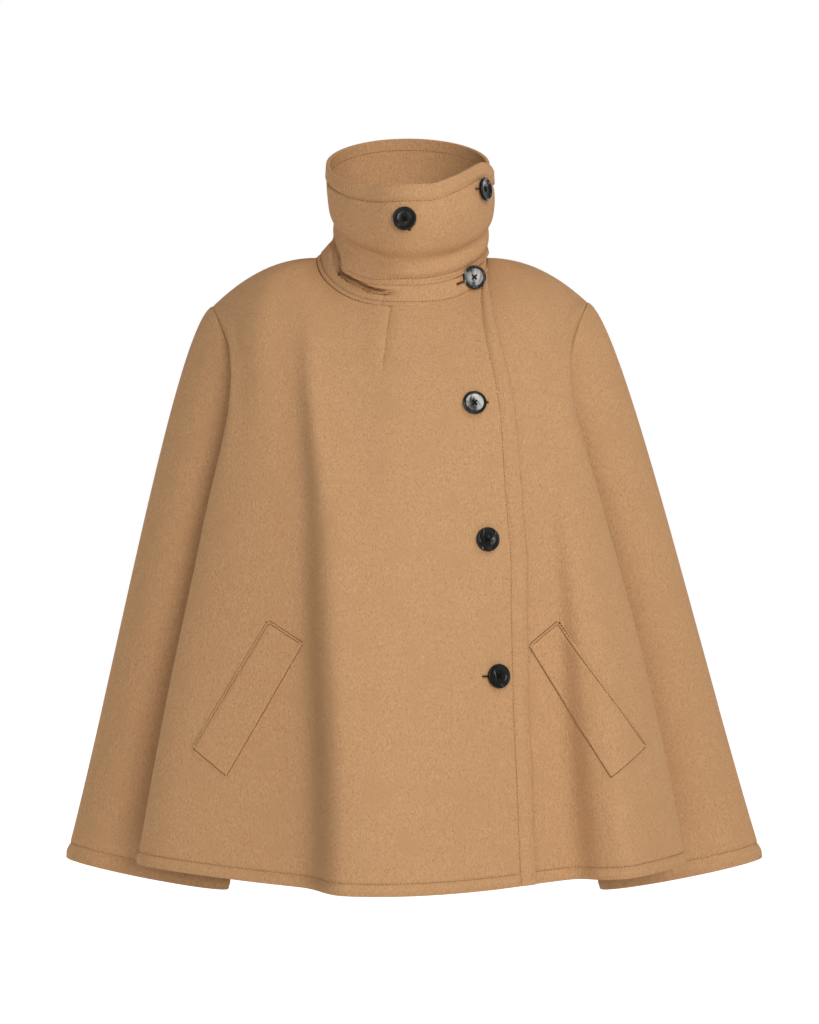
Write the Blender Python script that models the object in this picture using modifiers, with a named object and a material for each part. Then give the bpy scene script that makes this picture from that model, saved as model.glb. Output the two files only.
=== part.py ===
"""A swing coat of felted wool, worn shape with no wearer: fronts, back, sleeves, band, funnel collar.

Metres, +Z up. The front faces -Y and the wearer's left is +X. The origin is the centre of the
neck base, at the height where the shoulder lines meet the neck.
"""

import math
from collections import namedtuple

import bmesh
import bpy
import numpy as np
from mathutils import Matrix, Vector
from mathutils.bvhtree import BVHTree
from mathutils.kdtree import KDTree

COLLECTION = "swing_coat"

# Cloth and seams.
WALL = 0.003
SEAM_GAP = 0.0003
LAP_GAP = 0.0014
LAP_LIFT = WALL + LAP_GAP
# Panels that meet more sharply than this cosine, as under the arm, lie back to back.
SHARP_SEAM = -0.2

# Body rings, from the chest down to the hem. "side" is the half width under the arm, where the
# sleeve hangs between a front and a back lobe.
Ring = namedtuple("Ring", "height half_width front back side")
BODY_RINGS = (
    Ring(-0.66, 0.327, 0.168, 0.168, 0.181),
    Ring(-0.54, 0.304, 0.163, 0.158, 0.174),
    Ring(-0.42, 0.280, 0.158, 0.150, 0.166),
    Ring(-0.30, 0.255, 0.152, 0.142, 0.158),
)
RING_POWER = 2.2
# The coat hangs a little to the wearer's right.
RING_SHIFT = -0.005
CHEST = BODY_RINGS[-1].height
HEM_FRONT = -0.663
HEM_SIDE = -0.645
HEM_BACK = -0.655
ARM_Y = 0.012
ARM_SPAN = 0.078

# A panel's width runs from 0 at the centre to 1 at the side seam, and its length from 0 at the
# hem to 1 at the neck, the shoulder or the armhole.
NECK_SHARE = 0.30
SHOULDER_SHARE = 0.46
ARMHOLE_EASE = 0.70
CHEST_SHARE = 0.52

# Neck seam, shoulder and armhole.
NECK_X = -0.0045
NECK_HALF = 0.0925
NECK_FRONT = 0.085
NECK_BACK = 0.075
NECK_DROP = 0.0605
NECK_RISE = 0.012
NECK_LAP_DIP = 0.006
NECK_POINT_TURN = math.radians(40)
TIP_TURN = math.radians(20)
NECK_STEEP = 1.6
NECK_POINT_STEEP = 0.15
SHOULDER_POWER = 2.1
UNDERARM_HALF = 0.166
UNDERARM_HEIGHT = -0.250
ARMHOLE_DEPTH = 0.072
# How far the cloth in front of an armhole leans in as it rises.
SIDE_LEAN = 1.8

# The wearer's right shoulder, at -1, hangs a little wider and lower than the left.
Shoulder = namedtuple("Shoulder", "half drop armhole_power")
SHOULDERS = {
    -1: Shoulder(0.2105, 0.0520, 2.4),
    1: Shoulder(0.1975, 0.0475, 3.4),
}

# Soft folds. Each steps out at its place, which runs from the top to the hem, and falls back
# over "fade" towards the wearer's left. It starts at the height "top" and is whole at "full".
Fold = namedtuple("Fold", "face place_top place_hem top full rise width fade")
FOLDS = (
    Fold("front", -0.232, -0.158, -0.02, -0.56, 0.058, 0.052, 0.50),
    Fold("front", 0.352, 0.385, -0.08, -0.62, 0.036, 0.044, 0.50),
    Fold("front", -0.700, -0.640, -0.30, -0.62, 0.008, 0.060, 0.30),
    Fold("back", -0.400, -0.430, -0.14, -0.60, 0.040, 0.050, 0.42),
    Fold("back", 0.020, 0.000, -0.10, -0.60, 0.034, 0.044, 0.46),
    Fold("back", 0.430, 0.460, -0.24, -0.64, 0.026, 0.050, 0.40),
)
# Folds lie flat over this share of the body's depth, beside the side seams.
FOLD_SETTLE = 0.4

# The lap's free edge, as a share of the panel's width at heights of its length.
LapEdge = namedtuple("LapEdge", "length place")
LAP_EDGE = (
    LapEdge(0.00, 0.251),
    LapEdge(0.15, 0.261),
    LapEdge(0.25, 0.269),
    LapEdge(0.40, 0.290),
    LapEdge(0.52, 0.309),
    LapEdge(0.60, 0.300),
    LapEdge(0.68, 0.275),
    LapEdge(0.76, 0.241),
    LapEdge(0.84, 0.215),
    LapEdge(0.92, 0.2135),
    LapEdge(1.00, 0.250),
)
LAP_START = -0.10

# Sleeves.
CUFF_RIGHT_X = 0.2825
CUFF_LEFT_X = 0.3005
CUFF_Y = 0.020
CUFF_HEIGHT = -0.6705
CUFF_HALF = (0.0885, 0.0175)
CUFF_DEPTH = 0.042

# Neckband and collar, round the neck. Angles start at the front and run towards +X.
BAND_X = 0.002
BAND_HALF = 0.0815
BAND_FRONT = 0.075
BAND_BACK = 0.068
BAND_TOP_FRONT = -0.034
BAND_TOP_SIDE = 0.016
BAND_TOP_LEAN = 0.004
BAND_TOP_BACK = 0.034
RIM_HEIGHT = 0.103
RIM_TILT = 0.037
# The lap's rim climbs over the rim beneath it: degrees round the lap, and how much higher.
RimLap = namedtuple("RimLap", "degrees rise")
RIM_LAP = (
    RimLap(0, 0.000),
    RimLap(15, 0.000),
    RimLap(30, 0.007),
    RimLap(45, 0.013),
    RimLap(60, 0.0135),
    RimLap(75, 0.002),
    RimLap(90, -0.008),
)
CollarRow = namedtuple("CollarRow", "share centre half_width half_depth")
COLLAR_ROWS = (
    CollarRow(0.00, 0.002, 0.0815, 0.0750),
    CollarRow(0.14, 0.003, 0.0810, 0.0760),
    CollarRow(0.34, 0.003, 0.0855, 0.0800),
    CollarRow(0.60, 0.003, 0.0885, 0.0825),
    CollarRow(0.82, 0.002, 0.0885, 0.0815),
    CollarRow(1.00, 0.002, 0.0875, 0.0790),
)
NECK_STEP = 15
BAND_END = 435
COLLAR_END = 450

# Mesh steps.
BODY_LOW_ROWS = 7
BODY_TOP_ROWS = 8
SHOULDER_COLUMNS = 3
ARMHOLE_COLUMNS = 8
SLEEVE_ROWS = 10

# Pocket welts: the upper outer corner on the front, the slant from upright, and the size.
WELT_LENGTH = 0.156
WELT_WIDTH = 0.0415
WELT_WALL = 0.002
WELT_STEPS = (13, 4)
Welt = namedtuple("Welt", "name panel top_x top_z slant clearance")
WELTS = (
    Welt("pocket_welt_right", "front_right", -0.1430, -0.3868, 210.5, 0.0008),
    Welt("pocket_welt_left", "front_left", 0.1593, -0.3885, 146.2, 0.0018),
)

# Buttons.
BUTTON_RADIUS = 0.0125
BUTTON_HEIGHT = 0.0042
BUTTON_WELL = 0.0015
BUTTON_RIM = 0.0028
BUTTON_HOLE = 0.0011
BUTTON_HOLE_CIRCLE = 0.0026
BUTTON_STEPS = 20
Button = namedtuple("Button", "x z panel")
BUTTONS = (
    Button(0.0000, 0.0325, "collar"),
    Button(0.0815, 0.0690, "collar"),
    Button(0.0705, -0.0262, "neckband"),
    Button(0.0705, -0.1635, "front_right"),
    Button(0.0834, -0.3045, "front_right"),
    Button(0.0934, -0.4430, "front_right"),
)

WOOL = ("brushed_wool", (0.527, 0.296, 0.138), 0.95)
HORN = ("dark_horn_button", (0.012, 0.011, 0.011), 0.25)

Surface = namedtuple("Surface", "points normals lift wraps")


def smooth(share):
    """0 to 1 with level ends."""
    share = min(max(share, 0.0), 1.0)
    return share * share * (3 - 2 * share)


def unit(vector):
    return vector / np.linalg.norm(vector)


def hermite(start, end, leave, arrive, share):
    """A point of the cubic from start to end, with its two end tangents."""
    square = share * share
    cube = square * share
    return (
        (2 * cube - 3 * square + 1) * start
        + (cube - 2 * square + share) * leave
        + (3 * square - 2 * cube) * end
        + (cube - square) * arrive
    )


def ring_value(height, column):
    heights = [ring.height for ring in BODY_RINGS]
    return float(np.interp(height, heights, [getattr(ring, column) for ring in BODY_RINGS]))


def fold_rise(face, across, height):
    """How far the folds stand the cloth out at this place."""
    total = 0.0
    for fold in FOLDS:
        if fold.face != face:
            continue
        fall = smooth((fold.top - height) / (fold.top - HEM_FRONT))
        beyond = across - fold.place_top - (fold.place_hem - fold.place_top) * fall
        step = 0.5 + 0.5 * math.tanh(beyond / fold.width)
        strength = smooth((fold.top - height) / (fold.top - fold.full))
        total += fold.rise * strength * step * (1 - smooth(beyond / fold.fade))
    return total


def ring_point(face, across, height):
    """The outer face of a body ring below the chest."""
    front = face == "front"
    angle = abs(across) * math.pi / 2
    half_width = ring_value(height, "half_width")
    depth = ring_value(height, face)
    x = half_width * math.sin(angle) ** (2 / RING_POWER)
    y = depth * max(math.cos(angle), 0.0) ** (2 / RING_POWER)
    y += fold_rise(face, across, height) * smooth(y / (FOLD_SETTLE * depth))
    y = -y if front else y
    squeeze = half_width - ring_value(height, "side")
    x -= squeeze * math.exp(-(((y - ARM_Y) / ARM_SPAN) ** 4))
    return np.array([math.copysign(x, across) + RING_SHIFT, y, height])


def hem_height(face, across):
    middle = HEM_FRONT if face == "front" else HEM_BACK
    return middle + (HEM_SIDE - middle) * smooth(abs(across) / 0.75)


def neck_seam(degrees):
    turn = math.radians(degrees)
    forward = math.cos(turn)
    depth = NECK_FRONT if forward > 0 else NECK_BACK
    drop = NECK_DROP if forward > 0 else NECK_RISE
    height = -drop * forward
    if 0 < degrees % 360 < 90:
        height -= NECK_LAP_DIP * math.sin(2 * turn) ** 2
    return np.array([NECK_X + NECK_HALF * math.sin(turn), -depth * forward, height])


def band_top(degrees):
    turn = math.radians(degrees)
    forward = math.cos(turn)
    depth = BAND_FRONT if forward > 0 else BAND_BACK
    side = BAND_TOP_SIDE - BAND_TOP_LEAN * math.sin(turn)
    end = BAND_TOP_FRONT if forward > 0 else BAND_TOP_BACK
    height = side + (end - side) * abs(forward)
    return np.array([BAND_X + BAND_HALF * math.sin(turn), -depth * forward, height])


def collar_point(degrees, share):
    turn = math.radians(degrees)
    shares = [row.share for row in COLLAR_ROWS]
    centre, half_width, half_depth = (
        float(np.interp(share, shares, [row[column] for row in COLLAR_ROWS])) for column in (1, 2, 3)
    )
    base = band_top(degrees)
    rim = RIM_HEIGHT - RIM_TILT * math.cos(turn)
    if degrees > 360:
        rises = [lap.rise for lap in RIM_LAP]
        rim += float(np.interp(degrees - 360, [lap.degrees for lap in RIM_LAP], rises))
    point = np.array(
        [
            centre + half_width * math.sin(turn),
            -half_depth * math.cos(turn),
            base[2] + (rim - base[2]) * share,
        ]
    )
    settle = smooth(share / 0.14)
    return base + (point - base) * settle if share < 0.14 else point


def armhole_point(face, side, degrees):
    """Degrees run from 0 at the shoulder tip to 180 at the underarm."""
    turn = math.radians(degrees)
    upper = (1 + math.cos(turn)) / 2
    shoulder = SHOULDERS[side]
    x = UNDERARM_HALF + (shoulder.half - UNDERARM_HALF) * upper**shoulder.armhole_power
    depth = ARMHOLE_DEPTH * math.sin(turn)
    y = ARM_Y - depth if face == "front" else ARM_Y + depth
    z = UNDERARM_HEIGHT + (-shoulder.drop - UNDERARM_HEIGHT) * upper
    return np.array([side * x, y, z])


def armhole_degrees(across):
    """The armhole's turn at a panel's place. The lobe's edge meets it at its front."""
    share = (abs(across) - SHOULDER_SHARE) / (1 - SHOULDER_SHARE)
    return 180 * share**ARMHOLE_EASE


def top_edge(face, across):
    """A point of the neck, shoulder or armhole edge, and the way the cloth arrives there.

    At the neck point, where the neck seam turns into the shoulder seam, the cloth arrives between
    the two, at NECK_POINT_TURN.
    """
    side = math.copysign(1, across)
    place = abs(across)
    inward = 1 if face == "front" else -1
    if place <= NECK_SHARE:
        share = place / NECK_SHARE
        degrees = 90 * share if face == "front" else 180 - 90 * share
        level = smooth(share)
        turn = NECK_POINT_TURN * share
        steep = NECK_STEEP * (1 - level) + NECK_POINT_STEEP * level
        arrive = np.array([-side * math.sin(turn), inward * math.cos(turn), steep])
        return neck_seam(side * degrees), unit(arrive)
    if place <= SHOULDER_SHARE:
        share = (place - NECK_SHARE) / (SHOULDER_SHARE - NECK_SHARE)
        start = neck_seam(side * 90)
        x = start[0] + (side * SHOULDERS[side].half - start[0]) * share
        z = -SHOULDERS[side].drop * share**SHOULDER_POWER
        turn = NECK_POINT_TURN * (1 - share) - TIP_TURN * share
        steep = NECK_POINT_STEEP * (1 - share)
        arrive = np.array([-side * math.sin(turn), inward * math.cos(turn), steep])
        return np.array([x, ARM_Y * share, z]), unit(arrive)
    degrees = armhole_degrees(across)
    half_turn = math.radians(degrees / 2)
    level = math.cos(half_turn) ** 2
    lean = SIDE_LEAN * (1 - level) ** 2 * math.sin(2 * half_turn) ** 6 if face == "front" else 0.0
    arrive = np.array(
        [
            side * (math.sin(TIP_TURN) * level - lean),
            inward * math.cos(TIP_TURN) * level,
            0.9 * math.sin(half_turn),
        ]
    )
    return armhole_point(face, side, degrees), unit(arrive)


def body_point(face, across, length):
    """A point of the body's outer face."""
    hem = hem_height(face, across)
    if length <= CHEST_SHARE:
        return ring_point(face, across, hem + (CHEST - hem) * length / CHEST_SHARE)
    chest = ring_point(face, across, CHEST)
    slope = (chest - ring_point(face, across, CHEST - 0.02)) / 0.02
    top, arrive = top_edge(face, across)
    reach = np.linalg.norm(top - chest)
    share = (length - CHEST_SHARE) / (1 - CHEST_SHARE)
    return hermite(chest, top, unit(slope) * reach, arrive * reach, share)


def outward(point_at, first, second, low=(0, 0), high=(1, 1), step=0.003):
    """The unit normal of a surface, from steps along its two parameters."""
    spans = []
    for index in (0, 1):
        ends = []
        for sign in (-1, 1):
            place = [first, second]
            place[index] = min(max(place[index] + sign * step, low[index]), high[index])
            ends.append(point_at(*place))
        spans.append(ends[1] - ends[0])
    return unit(np.cross(spans[0], spans[1]))


def lap_lift(across):
    """The lap rises over the front beneath it, from nothing on the wearer's right."""
    return LAP_LIFT * smooth((across - LAP_START) / -LAP_START)


def body_lengths():
    low = [CHEST_SHARE * row / BODY_LOW_ROWS for row in range(BODY_LOW_ROWS)]
    top = [CHEST_SHARE + (1 - CHEST_SHARE) * row / BODY_TOP_ROWS for row in range(BODY_TOP_ROWS + 1)]
    return low + top


def half_places():
    """The places of a panel's columns from its centre to its side seam."""
    neck_columns = 90 // NECK_STEP
    neck = [NECK_SHARE * column / neck_columns for column in range(neck_columns)]
    span = SHOULDER_SHARE - NECK_SHARE
    shoulder = [NECK_SHARE + span * column / SHOULDER_COLUMNS for column in range(SHOULDER_COLUMNS)]
    rest = 1 - SHOULDER_SHARE
    turns = [column / ARMHOLE_COLUMNS for column in range(ARMHOLE_COLUMNS + 1)]
    armhole = [SHOULDER_SHARE + rest * turn ** (1 / ARMHOLE_EASE) for turn in turns]
    return neck + shoulder + armhole


def lap_place(length):
    lengths = [edge.length for edge in LAP_EDGE]
    return float(np.interp(length, lengths, [edge.place for edge in LAP_EDGE]))


def body_surface(face, columns_at, lift_at):
    """The points, normals and lift of a panel whose columns stand at columns_at(length)."""
    points, normals, lifts = [], [], []
    facing = 1 if face == "front" else -1
    for length in body_lengths():
        places = columns_at(length)
        points.append([body_point(face, place, length) for place in places])
        normals.append(
            [
                facing * outward(lambda a, b: body_point(face, a, b), place, length, (-1, 0))
                for place in places
            ]
        )
        lifts.append([lift_at(place) for place in places])
    return Surface(np.array(points), np.array(normals), np.array(lifts), False)


def front_right_surface():
    """The wearer's right front, from its side seam to the lap's free edge."""
    right = [-place for place in reversed(half_places())]
    lap_columns = BAND_END % 360 // NECK_STEP

    def columns_at(length):
        edge = lap_place(length)
        return right + [edge * column / lap_columns for column in range(1, lap_columns + 1)]

    return body_surface("front", columns_at, lap_lift)


def front_left_surface():
    return body_surface("front", lambda length: half_places(), lambda place: 0.0)


def back_surface():
    places = half_places()
    whole = [-place for place in reversed(places)] + places[1:]
    return body_surface("back", lambda length: whole, lambda place: 0.0)


def sleeve_point(side, turn, share):
    """Turn runs from 0 on top, by the front, to 360. Share runs from the armhole to the cuff."""
    face = "front" if turn <= 180 else "back"
    degrees = turn if turn <= 180 else 360 - turn
    start = armhole_point(face, side, degrees) * np.array([side, 1, 1])
    radians = math.radians(turn)
    upper = (1 + math.cos(radians)) / 2
    end = np.array([CUFF_LEFT_X if side > 0 else CUFF_RIGHT_X, CUFF_Y, CUFF_HEIGHT])
    end += np.array([CUFF_HALF[0], 0, CUFF_HALF[1]]) * math.cos(radians)
    end[1] -= CUFF_DEPTH * math.sin(radians)
    across = math.sin(radians)
    steep = -0.9 + 0.55 * upper**4
    leave = unit(np.array([0.02 + 0.95 * upper + 0.30 * across**2, 0.25 * across, steep]))
    leave *= 0.12 + 0.17 * across**2
    point = hermite(start, end, leave, end - start, share)
    return point * np.array([side, 1, 1])


def sleeve_turns():
    half = [armhole_degrees(place) for place in half_places() if place >= SHOULDER_SHARE]
    return half + [360 - turn for turn in reversed(half[1:-1])]


def sleeve_surface(side):
    points, normals = [], []
    for row in range(SLEEVE_ROWS + 1):
        share = row / SLEEVE_ROWS
        ring = [sleeve_point(side, turn, share) for turn in sleeve_turns()]
        points.append(ring)
        normals.append(
            [
                side
                * outward(
                    lambda a, b: sleeve_point(side, (a * 360) % 360, b),
                    turn / 360,
                    share,
                    (-1, 0),
                    (2, 1),
                )
                for turn in sleeve_turns()
            ]
        )
    points = np.array(points)
    return Surface(points, np.array(normals), np.zeros(points.shape[:2]), True)


def neck_surface(point_at, shares, end):
    """A strip round the neck, whose outer end laps over its inner end."""
    angles = list(range(0, end + 1, NECK_STEP))
    points, normals, lifts = [], [], []
    for share in shares:
        points.append([point_at(angle, share) for angle in angles])
        normals.append(
            [
                outward(lambda a, b: point_at(a * 360, b), angle / 360, share, (-1, 0), (2, 1))
                for angle in angles
            ]
        )
        lifts.append([lap_lift((angle - 360) * NECK_SHARE / 90) for angle in angles])
    return Surface(np.array(points), np.array(normals), np.array(lifts), False)


def band_surface():
    def point_at(angle, share):
        low = neck_seam(angle)
        return low + (band_top(angle) - low) * share

    return neck_surface(point_at, (0, 0.5, 1), BAND_END)


def collar_surface():
    return neck_surface(collar_point, [row.share for row in COLLAR_ROWS], COLLAR_END)


def share_edge_normals(surfaces):
    """Edges that meet in a seam get one normal, so that their walls meet in one plane."""
    places = []
    for name, surface in surfaces.items():
        rows, columns = surface.points.shape[:2]
        for row in range(rows):
            for column in range(columns):
                inside = surface.wraps or 0 < column < columns - 1
                if 0 < row < rows - 1 and inside:
                    continue
                places.append((name, row, column))
    tree = KDTree(len(places))
    for index, (name, row, column) in enumerate(places):
        tree.insert(surfaces[name].points[row, column], index)
    tree.balance()
    shared = {}
    for name, row, column in places:
        near = tree.find_range(surfaces[name].points[row, column], SEAM_GAP / 10)
        own = surfaces[name].normals[row, column]
        normals = [surfaces[places[index][0]].normals[places[index][1:]] for _, index, _ in near]
        open_ones = [normal for normal in normals if np.dot(own, normal) > SHARP_SEAM]
        shared[name, row, column] = unit(np.sum(open_ones, axis=0))
    for (name, row, column), normal in shared.items():
        surfaces[name].normals[row, column] = normal


def draw_in(points, wraps):
    """Edges stand half a seam gap back, square to themselves in the panel."""
    result = points.copy()
    pairs = [(0, 1), (-1, -2)]
    for edge, inner in pairs:
        result[edge] += square_way(points[edge], points[inner]) * SEAM_GAP / 2
    if not wraps:
        for edge, inner in pairs:
            result[:, edge] += square_way(points[:, edge], points[:, inner]) * SEAM_GAP / 2
    return result


def square_way(edge, inner):
    """Unit ways from an edge's points towards the next line of points, square to the edge."""
    along = np.gradient(edge, axis=0)
    along /= np.linalg.norm(along, axis=-1, keepdims=True)
    way = inner - edge
    way -= (way * along).sum(-1, keepdims=True) * along
    return way / np.linalg.norm(way, axis=-1, keepdims=True)


def wall_faces(outer, wraps):
    """The outer and inner faces of a wall, and the rims that join them.

    Each cell is split along a diagonal that is mirrored from the coat's right to its left.
    """
    rows, columns = outer.shape[:2]
    count = rows * columns
    across = columns if wraps else columns - 1

    def at(row, column, layer):
        return layer * count + row * columns + column % columns

    faces = []
    for row in range(rows - 1):
        for column in range(across):
            corners = [(row, column), (row, column + 1), (row + 1, column + 1), (row + 1, column)]
            if outer[row, column, 0] < 0:
                corners = corners[1:] + corners[:1]
            for halves in (corners[:3], corners[2:] + corners[:1]):
                faces.append([at(*corner, 0) for corner in halves])
                faces.append([at(*corner, 1) for corner in reversed(halves)])
    last, end = rows - 1, columns - 1
    rims = [((0, column + 1), (0, column)) for column in range(across)]
    rims += [((last, column), (last, column + 1)) for column in range(across)]
    if not wraps:
        rims += [((row, 0), (row + 1, 0)) for row in range(rows - 1)]
        rims += [((row + 1, end), (row, end)) for row in range(rows - 1)]
    for start, stop in rims:
        quad = [at(*start, 0), at(*stop, 0), at(*stop, 1), at(*start, 1)]
        # Both walls of a seam split its rim from the lower corner, so that their facets match.
        if outer[start[0], start[1] % columns, 2] > outer[stop[0], stop[1] % columns, 2]:
            quad = quad[1:] + quad[:1]
        faces += [quad[:3], quad[2:] + quad[:1]]
    return faces


def face_out(mesh):
    """Turns a closed mesh's faces outwards."""
    shape = bmesh.new()
    shape.from_mesh(mesh)
    if shape.calc_volume(signed=True) < 0:
        bmesh.ops.reverse_faces(shape, faces=shape.faces)
    shape.to_mesh(mesh)
    shape.free()


def new_object(name, mesh, material, collection):
    obj = bpy.data.objects.new(name, mesh)
    collection.objects.link(obj)
    mesh.materials.append(material)
    mesh.shade_smooth()
    mesh.set_sharp_from_angle(angle=math.radians(40))
    return obj


def add_wall(name, outer, inner, wraps, material, collection):
    """A closed wall lofted between two grids of points."""
    vertices = np.concatenate([outer.reshape(-1, 3), inner.reshape(-1, 3)])
    mesh = bpy.data.meshes.new(name)
    mesh.from_pydata(vertices.tolist(), [], wall_faces(outer, wraps))
    mesh.update()
    face_out(mesh)
    return new_object(name, mesh, material, collection)


def add_panel(name, surface, material, collection):
    lift = surface.lift[..., None]
    outer = surface.points + surface.normals * lift
    inner = surface.points + surface.normals * (lift - WALL)
    return add_wall(
        name,
        draw_in(outer, surface.wraps),
        draw_in(inner, surface.wraps),
        surface.wraps,
        material,
        collection,
    )


def tree_of(obj):
    mesh = obj.data
    corners = [vertex.co.copy() for vertex in mesh.vertices]
    return BVHTree.FromPolygons(corners, [tuple(face.vertices) for face in mesh.polygons])


def front_hit(tree, x, z):
    """Where a line from the front meets a panel, and the cloth's normal there."""
    place, normal, _, _ = tree.ray_cast(Vector((x, -1, z)), Vector((0, 1, 0)))
    return place, normal if normal.y < 0 else -normal


def add_welt(welt, panel, material, collection):
    """A welt laid on its panel: the panel's own points, moved out."""
    tree = tree_of(panel)
    turn = math.radians(welt.slant)
    along = Vector((math.sin(turn), 0, math.cos(turn)))
    inward = -1 if welt.top_x > 0 else 1
    across = Vector((-along.z, 0, along.x)) * inward
    grids = [[], []]
    for row in range(WELT_STEPS[0] + 1):
        lines = [[], []]
        for column in range(WELT_STEPS[1] + 1):
            place = Vector((welt.top_x, 0, welt.top_z))
            place += along * WELT_LENGTH * row / WELT_STEPS[0]
            place += across * WELT_WIDTH * column / WELT_STEPS[1]
            hit, _ = front_hit(tree, place.x, place.z)
            normal = welt_normal(tree, place)
            lines[0].append(hit + normal * (welt.clearance + WELT_WALL))
            lines[1].append(hit + normal * welt.clearance)
        for grid, line in zip(grids, lines):
            grid.append(line)
    outer, inner = (np.array([[tuple(p) for p in line] for line in grid]) for grid in grids)
    return add_wall(welt.name, outer, inner, False, material, collection)


def welt_normal(tree, place, reach=0.004):
    """The cloth's normal, evened over the facets round a place."""
    total = Vector()
    for step_x in (-reach, 0, reach):
        for step_z in (-reach, 0, reach):
            total += front_hit(tree, place.x + step_x, place.z + step_z)[1]
    return total.normalized()


def button_profile():
    """Half of a button's section, from the centre of its face out and down to its back."""
    rim_inner = BUTTON_RADIUS - BUTTON_RIM
    return (
        (0.0, BUTTON_HEIGHT - BUTTON_WELL),
        (rim_inner - 0.0012, BUTTON_HEIGHT - BUTTON_WELL),
        (rim_inner + 0.0004, BUTTON_HEIGHT),
        (BUTTON_RADIUS - 0.0009, BUTTON_HEIGHT),
        (BUTTON_RADIUS, BUTTON_HEIGHT - 0.0016),
        (BUTTON_RADIUS - 0.0018, 0.0),
        (0.0, 0.0),
    )


def hole_pins():
    """Four pins in a square, which cut a button's holes."""
    mesh = bpy.data.meshes.new("hole_pins")
    corners, faces = [], []
    sides = 8
    for pin in range(4):
        turn = math.radians(45 + 90 * pin)
        centre = Vector((math.cos(turn), math.sin(turn), 0)) * BUTTON_HOLE_CIRCLE
        first = len(corners)
        for height in (-0.002, BUTTON_HEIGHT + 0.002):
            for side in range(sides):
                angle = 2 * math.pi * side / sides
                rim = Vector((math.cos(angle), math.sin(angle), 0)) * BUTTON_HOLE
                corners.append(centre + rim + Vector((0, 0, height)))
        for side in range(sides):
            following = (side + 1) % sides
            faces.append(
                (first + side, first + following, first + sides + following, first + sides + side)
            )
        faces.append(tuple(first + side for side in reversed(range(sides))))
        faces.append(tuple(first + sides + side for side in range(sides)))
    mesh.from_pydata(corners, [], faces)
    return mesh


def add_button(name, mesh, pins, place, normal, material, collection, cutters):
    obj = bpy.data.objects.new(name, mesh)
    collection.objects.link(obj)
    mesh.materials.append(material)
    turn = normal.to_track_quat("Z", "Y").to_matrix().to_4x4()
    obj.matrix_world = Matrix.Translation(place + normal * SEAM_GAP * 2) @ turn
    holes = bpy.data.objects.new(f"{name}_holes", pins)
    cutters.objects.link(holes)
    holes.matrix_world = obj.matrix_world
    holes.hide_render = True
    holes.display_type = "WIRE"
    screw = obj.modifiers.new("turned", "SCREW")
    screw.steps = screw.render_steps = BUTTON_STEPS
    screw.use_merge_vertices = True
    screw.merge_threshold = 0.00001
    screw.use_normal_calculate = True
    cut = obj.modifiers.new("holes", "BOOLEAN")
    cut.object = holes
    return obj


def new_material(name, color, roughness):
    material = bpy.data.materials.new(name)
    material.use_nodes = True
    shader = material.node_tree.nodes["Principled BSDF"]
    shader.inputs["Base Color"].default_value = (*color, 1)
    shader.inputs["Roughness"].default_value = roughness
    return material


def main():
    for obj in list(bpy.data.objects):
        bpy.data.objects.remove(obj)
    coat = bpy.data.collections.new(COLLECTION)
    cutters = bpy.data.collections.new("cutters")
    for collection in (coat, cutters):
        bpy.context.scene.collection.children.link(collection)

    surfaces = {
        "front_right": front_right_surface(),
        "front_left": front_left_surface(),
        "back": back_surface(),
        "sleeve_right": sleeve_surface(-1),
        "sleeve_left": sleeve_surface(1),
        "neckband": band_surface(),
        "collar": collar_surface(),
    }
    share_edge_normals(surfaces)
    panels = {}
    for name, surface in surfaces.items():
        wool = new_material(f"{WOOL[0]}_{name}", *WOOL[1:])
        panels[name] = add_panel(name, surface, wool, coat)
    for welt in WELTS:
        wool = new_material(f"{WOOL[0]}_{welt.name}", *WOOL[1:])
        add_welt(welt, panels[welt.panel], wool, coat)

    pins = hole_pins()
    for number, button in enumerate(BUTTONS, start=1):
        horn = new_material(f"{HORN[0]}_{number}", *HORN[1:])
        profile = bpy.data.meshes.new(f"button_{number}")
        corners = [(radius, 0, height) for radius, height in button_profile()]
        profile.from_pydata(corners, [(i, i + 1) for i in range(len(corners) - 1)], [])
        place, normal = front_hit(tree_of(panels[button.panel]), button.x, button.z)
        add_button(f"button_{number}", profile, pins, place, normal, horn, coat, cutters)


main()
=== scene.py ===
import math

import bpy
import numpy as np
from mathutils import Matrix, Vector
from mathutils.bvhtree import BVHTree


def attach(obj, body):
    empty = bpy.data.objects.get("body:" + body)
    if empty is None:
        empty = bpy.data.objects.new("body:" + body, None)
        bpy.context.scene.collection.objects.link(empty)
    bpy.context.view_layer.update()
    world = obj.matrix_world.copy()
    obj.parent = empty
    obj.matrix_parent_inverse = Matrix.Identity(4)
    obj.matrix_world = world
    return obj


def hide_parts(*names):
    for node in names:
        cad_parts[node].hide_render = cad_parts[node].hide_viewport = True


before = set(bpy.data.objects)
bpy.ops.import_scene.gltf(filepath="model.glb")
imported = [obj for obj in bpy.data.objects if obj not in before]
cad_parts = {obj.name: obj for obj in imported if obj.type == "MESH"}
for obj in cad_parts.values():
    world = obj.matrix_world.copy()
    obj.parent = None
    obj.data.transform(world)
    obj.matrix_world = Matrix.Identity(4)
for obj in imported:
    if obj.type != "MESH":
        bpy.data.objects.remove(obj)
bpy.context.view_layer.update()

# Lengths are in metres and the coat's front faces -Y. The wearer's left is +X.


def hexToLinear(code):
    values = [int(code[i:i + 2], 16) / 255 for i in (1, 3, 5)]
    return [v / 12.92 if v <= 0.04045 else ((v + 0.055) / 1.055) ** 2.4 for v in values] + [1.0]


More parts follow.
